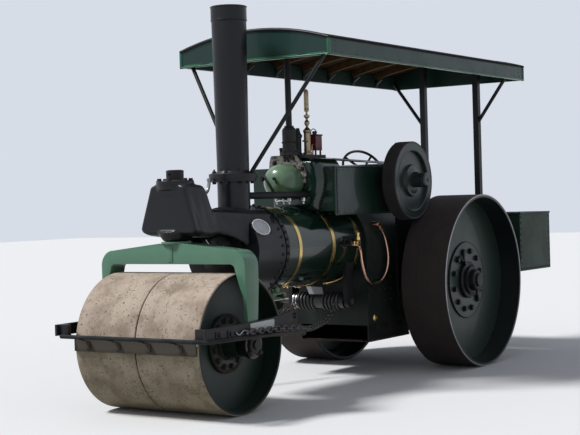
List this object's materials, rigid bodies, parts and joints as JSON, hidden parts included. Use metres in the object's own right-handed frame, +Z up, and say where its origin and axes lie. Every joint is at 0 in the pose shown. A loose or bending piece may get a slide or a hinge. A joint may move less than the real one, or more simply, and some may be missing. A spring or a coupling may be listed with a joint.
{
  "type": "steam road roller",
  "caption": "Steam road roller with a front roll in a steered fork, two large rear wheels, boiler, side flywheel, tall chimney and a full-length canopy on posts.",
  "frame": {"origin": "on the ground, halfway between the scraper bar's front and the bunker's rear, and between the rear wheels", "axes": "+X forward, +Y to the machine's left, the flywheel side, +Z up"},
  "size_m": [5.726, 1.972, 3.183],
  "materials": {
    "roll_iron": "worn and dusty",
    "fork_green": "satin paint",
    "black_iron": "satin black paint",
    "smokebox_black": "satin black paint",
    "bottle_green": "gloss paint",
    "band_brass": "polished",
    "cover_green": "gloss paint",
    "steel": "machined",
    "copper": "polished copper",
    "tread_iron": "worn",
    "roof_black": "matt",
    "fascia_green": "satin paint",
    "canopy_wood": "varnished",
    "valve_grey": "worn",
    "oiler_red": "gloss paint"
  },
  "bodies": {
    "root": {"headstock": "smokebox_black", "smokebox": "smokebox_black", "chimney_base": "smokebox_black", "chimney": "smokebox_black", "boiler": "bottle_green", "boiler_bands": "band_brass", "firebox": "bottle_green", "ashpan": "black_iron", "cylinder_casting": "bottle_green", "cylinder_flange": "valve_grey", "cylinder_cover": "cover_green", "cylinder_top": "black_iron", "exhaust_pipe": "black_iron", "motion_covers": "bottle_green", "gear_guard": "bottle_green", "feed_pipe": "copper", "chain_barrel": "black_iron", "shaft_brackets": "black_iron", "rear_axle": "black_iron", "axle_boxes": "black_iron", "footplate": "bottle_green", "bunker": "bottle_green", "drawbar": "black_iron", "steering_column": "black_iron", "control_levers": "steel", "canopy_roof": "roof_black", "canopy_fascia": "fascia_green", "canopy_ribs": "canopy_wood", "canopy_posts": "black_iron", "canopy_stays": "black_iron", "safety_valves": "valve_grey", "whistle": "band_brass", "lubricator": "oiler_red", "steering_chains": "black_iron"},
    "fork": {"fork": "fork_green", "kingpin": "black_iron", "roll_axle": "black_iron", "fork_arms": "black_iron", "scrapers": "black_iron", "fork_chains": "black_iron"},
    "front_roll": {"roll_left": "roll_iron", "roll_right": "roll_iron"},
    "rear_wheel_left": {"wheel_rim_left": "tread_iron", "wheel_disc_left": "bottle_green", "wheel_hub_left": "black_iron"},
    "rear_wheel_right": {"wheel_rim_right": "tread_iron", "wheel_disc_right": "bottle_green", "wheel_hub_right": "black_iron"},
    "flywheel": {"crankshaft": "steel", "flywheel": "bottle_green"},
    "smokebox_door": {"smokebox_door": "smokebox_black"},
    "fire_door": {"fire_door": "black_iron"}
  },
  "joints": [
    {"name": "steering", "type": "hinge", "parent": "root", "child": "fork", "pos_m": [2.217, 0, 1.292], "axis": [0, 0, 1], "range_deg": [-25, 25]},
    {"name": "front_roll_spin", "type": "hinge", "parent": "fork", "child": "front_roll", "pos_m": [2.217, 0, 0.5335], "axis": [0, 1, 0], "continuous": true},
    {"name": "rear_left_spin", "type": "hinge", "parent": "root", "child": "rear_wheel_left", "pos_m": [-1.123, 0, 0.8], "axis": [0, 1, 0], "continuous": true},
    {"name": "rear_right_spin", "type": "hinge", "parent": "root", "child": "rear_wheel_right", "pos_m": [-1.123, 0, 0.8], "axis": [0, 1, 0], "continuous": true},
    {"name": "flywheel_spin", "type": "hinge", "parent": "root", "child": "flywheel", "pos_m": [-0.44489, 0, 1.743], "axis": [0, 1, 0], "continuous": true},
    {"name": "smokebox_door_hinge", "type": "hinge", "parent": "root", "child": "smokebox_door", "pos_m": [1.658, -0.229, 1.195], "axis": [0, 0, -1], "range_deg": [0, 50]},
    {"name": "fire_door_hinge", "type": "hinge", "parent": "root", "child": "fire_door", "pos_m": [-0.815, 0.166, 1], "axis": [0, 0, -1], "range_deg": [0, 90]}
  ]
}
